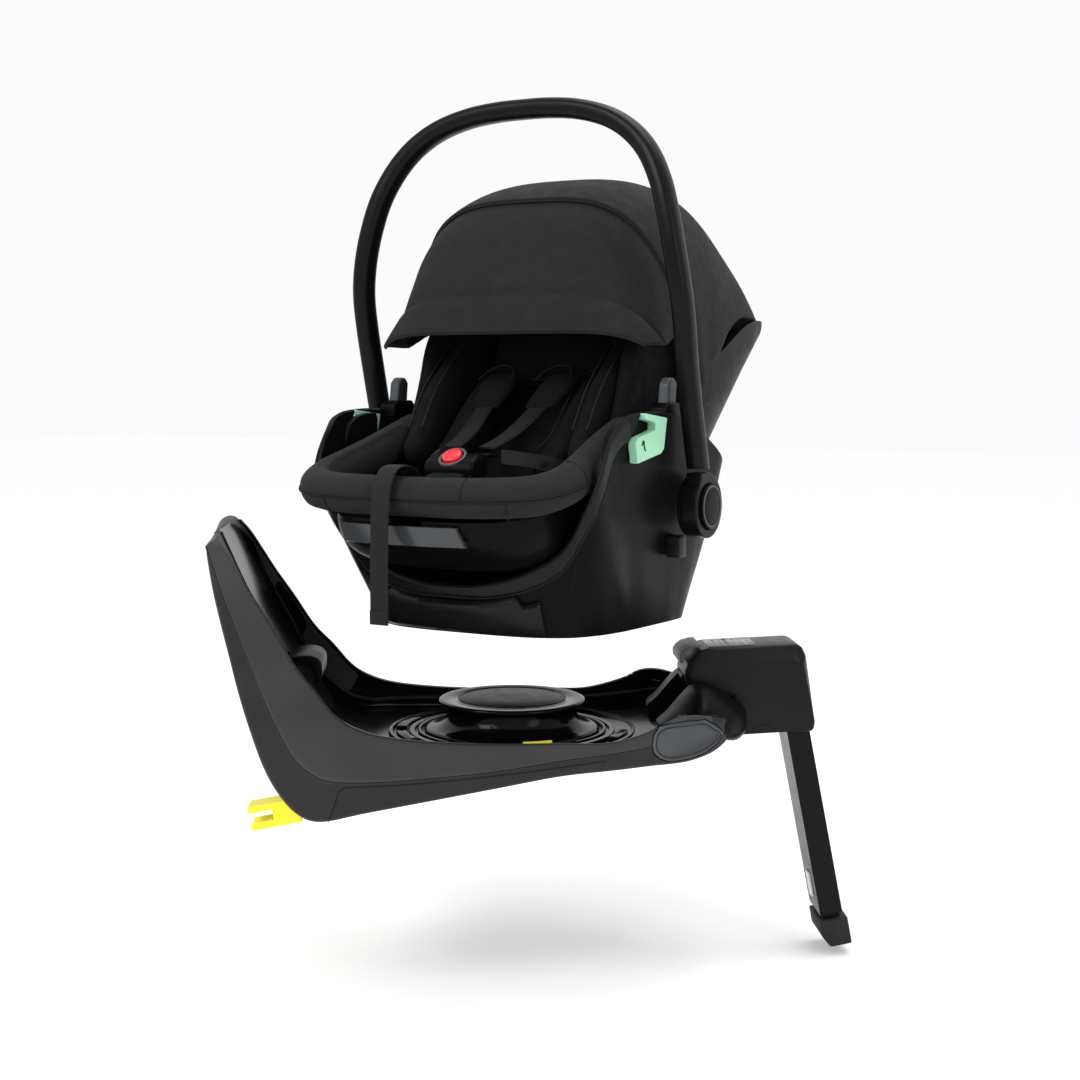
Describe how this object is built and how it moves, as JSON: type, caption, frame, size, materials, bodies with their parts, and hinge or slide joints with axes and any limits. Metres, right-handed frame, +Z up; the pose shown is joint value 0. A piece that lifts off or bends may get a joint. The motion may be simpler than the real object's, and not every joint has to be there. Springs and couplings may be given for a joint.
{
  "type": "infant car seat",
  "caption": "Infant car seat with carry handle, folding canopy, harness and reclining seat, lifted above its swivelling anchored base with support leg.",
  "frame": {"origin": "on the swivel axis, at the top face of the base's turntable", "axes": "+Z up along the swivel axis, +Y towards the carrier's head end, +X to the carrier's right-hand side; the base is turned 33 degrees about +Z"},
  "size_m": [0.7346, 0.7306, 1.0383],
  "materials": {
    "base_shell": "fine matte grain",
    "gloss_black": "polished",
    "matte_black": "fine grain",
    "dark_grey": "fine matte grain",
    "yellow": "smooth",
    "mint": "smooth",
    "panel": "polished",
    "white": "smooth",
    "red": "smooth",
    "steel": "satin",
    "rubber": "matte",
    "shell_fabric": "woven melange",
    "seat_fabric": "soft jersey",
    "webbing": "woven webbing",
    "foam": "beaded foam"
  },
  "bodies": {
    "base": {"base_side_left": "base_shell", "base_side_right": "base_shell", "base_lower_shell": "base_shell", "base_tub": "gloss_black", "bearing_ring": "steel", "anchor_frame": "steel", "index_strip": "yellow", "rear_catch": "dark_grey", "leg_housing": "gloss_black", "control_panel": "panel", "leg_hinge_pin": "steel"},
    "turntable": {"turntable": "gloss_black"},
    "dock_disc": {"turntable_cap": "matte_black"},
    "swivel_button_left": {"swivel_button_left": "dark_grey"},
    "swivel_button_right": {"swivel_button_right": "dark_grey"},
    "release_lip": {"release_lip": "dark_grey"},
    "leg_upper": {"leg_outer_tube": "matte_black"},
    "leg_lower": {"leg_inner_tube": "matte_black", "leg_foot": "rubber"},
    "leg_button": {"leg_button": "white"},
    "anchor_left": {"anchor_arm_left": "steel", "anchor_guide_left": "yellow", "anchor_hook_left": "steel"},
    "anchor_right": {"anchor_arm_right": "steel", "anchor_guide_right": "yellow", "anchor_hook_right": "steel"},
    "carrier": {"cradle_shell": "matte_black", "dock_plate": "matte_black", "cradle_trim": "base_shell", "front_grip": "base_shell", "recline_rail": "steel", "belt_guide_left": "mint", "belt_guide_right": "mint", "hub_mount_left": "matte_black", "hub_mount_right": "matte_black"},
    "adapter_lever_left": {"adapter_lever_left": "dark_grey"},
    "adapter_lever_right": {"adapter_lever_right": "dark_grey"},
    "handle": {"handle_bow": "matte_black", "handle_hub_left": "matte_black", "handle_hub_right": "matte_black"},
    "handle_button_left": {"handle_button_left": "matte_black"},
    "handle_button_right": {"handle_button_right": "matte_black"},
    "seat": {"seat_shell": "matte_black", "foam_liner": "foam", "rim_pad": "shell_fabric", "seat_pad": "seat_fabric", "wing_pad_left": "seat_fabric", "wing_pad_right": "seat_fabric", "shoulder_straps": "webbing", "lap_straps": "webbing", "buckle": "matte_black", "strap_adjuster": "matte_black", "adjuster_strap": "webbing", "canopy_rear": "shell_fabric", "canopy_pivots": "matte_black"},
    "recline_lever": {"recline_lever": "dark_grey"},
    "headrest": {"headrest": "seat_fabric"},
    "buckle_button": {"buckle_button": "red"},
    "canopy_front": {"canopy_front": "shell_fabric", "canopy_bow": "steel"}
  },
  "joints": [
    {"name": "swivel", "type": "hinge", "parent": "base", "child": "turntable", "pos_m": [0, 0, 0], "axis": [0, 0, 1], "continuous": true},
    {"name": "dock_turn", "type": "hinge", "parent": "turntable", "child": "dock_disc", "pos_m": [0, 0, 0], "axis": [0, 0, 1], "range_deg": [0, 33]},
    {"name": "dock_drop", "type": "slide", "parent": "dock_disc", "child": "carrier", "axis": [0, 0, 1], "range_m": [-0.1051, 0]},
    {"name": "swivel_button_left_press", "type": "slide", "parent": "base", "child": "swivel_button_left", "axis": [-0.1534, -0.9857, -0.0699], "range_m": [0, 0.003], "stiffness_N_per_m": 800, "springref_m": -0.001},
    {"name": "swivel_button_right_press", "type": "slide", "parent": "base", "child": "swivel_button_right", "axis": [-0.9629, 0.2608, -0.0699], "range_m": [0, 0.003], "stiffness_N_per_m": 800, "springref_m": -0.001},
    {"name": "release_lip_lift", "type": "hinge", "parent": "base", "child": "release_lip", "pos_m": [0.19122, 0.12418, 0.0665], "axis": [-0.5446, 0.8387, 0], "range_deg": [0, 12], "stiffness_Nm_per_rad": 0.6, "springref_deg": -11.46},
    {"name": "leg_fold", "type": "hinge", "parent": "base", "child": "leg_upper", "pos_m": [0.29186, 0.18953, -0.03], "axis": [-0.5446, 0.8387, 0], "range_deg": [0, 88]},
    {"name": "leg_extend", "type": "slide", "parent": "leg_upper", "child": "leg_lower", "axis": [0.16, 0.1039, -0.9816], "range_m": [0, 0.16]},
    {"name": "leg_button_press", "type": "slide", "parent": "leg_upper", "child": "leg_button", "axis": [0.8233, 0.5346, 0.1908], "range_m": [0, 0.002], "stiffness_N_per_m": 500, "springref_m": -0.001},
    {"name": "anchor_left_slide", "type": "slide", "parent": "base", "child": "anchor_left", "axis": [-0.8254, -0.536, -0.1771], "range_m": [0, 0.06]},
    {"name": "anchor_right_slide", "type": "slide", "parent": "base", "child": "anchor_right", "axis": [-0.8254, -0.536, -0.1771], "range_m": [0, 0.06]},
    {"name": "handle_swing", "type": "hinge", "parent": "carrier", "child": "handle", "pos_m": [0, 0.07, 0.24], "axis": [1, 0, 0], "range_deg": [-100, 45]},
    {"name": "handle_button_left_press", "type": "slide", "parent": "handle", "child": "handle_button_left", "axis": [1, 0, 0], "range_m": [0, 0.0025], "stiffness_N_per_m": 600, "springref_m": -0.001},
    {"name": "handle_button_right_press", "type": "slide", "parent": "handle", "child": "handle_button_right", "axis": [-1, 0, 0], "range_m": [0, 0.0025], "stiffness_N_per_m": 600, "springref_m": -0.001},
    {"name": "adapter_lever_left_pull", "type": "slide", "parent": "carrier", "child": "adapter_lever_left", "axis": [0, 0, 1], "range_m": [0, 0.008], "stiffness_N_per_m": 300, "springref_m": -0.002},
    {"name": "adapter_lever_right_pull", "type": "slide", "parent": "carrier", "child": "adapter_lever_right", "axis": [0, 0, 1], "range_m": [0, 0.008], "stiffness_N_per_m": 300, "springref_m": -0.002},
    {"name": "recline", "type": "hinge", "parent": "carrier", "child": "seat", "pos_m": [0, 0.04, 0.425], "axis": [1, 0, 0], "range_deg": [-10, 0]},
    {"name": "recline_lever_pull", "type": "slide", "parent": "seat", "child": "recline_lever", "axis": [0, -1, 0], "range_m": [0, 0.006], "stiffness_N_per_m": 300, "springref_m": -0.003},
    {"name": "headrest_slide", "type": "slide", "parent": "seat", "child": "headrest", "axis": [0, 0.7314, 0.682], "range_m": [0, 0.05]},
    {"name": "buckle_press", "type": "slide", "parent": "seat", "child": "buckle_button", "axis": [0, 0, -1], "range_m": [0, 0.0025], "stiffness_N_per_m": 800, "springref_m": -0.001},
    {"name": "canopy_fold", "type": "hinge", "parent": "seat", "child": "canopy_front", "pos_m": [0, 0.15, 0.325], "axis": [1, 0, 0], "range_deg": [-45, 5]}
  ],
  "couplings": [
    {"joint": "dock_drop", "follows": "dock_turn", "m_per_rad": -0.1823}
  ]
}
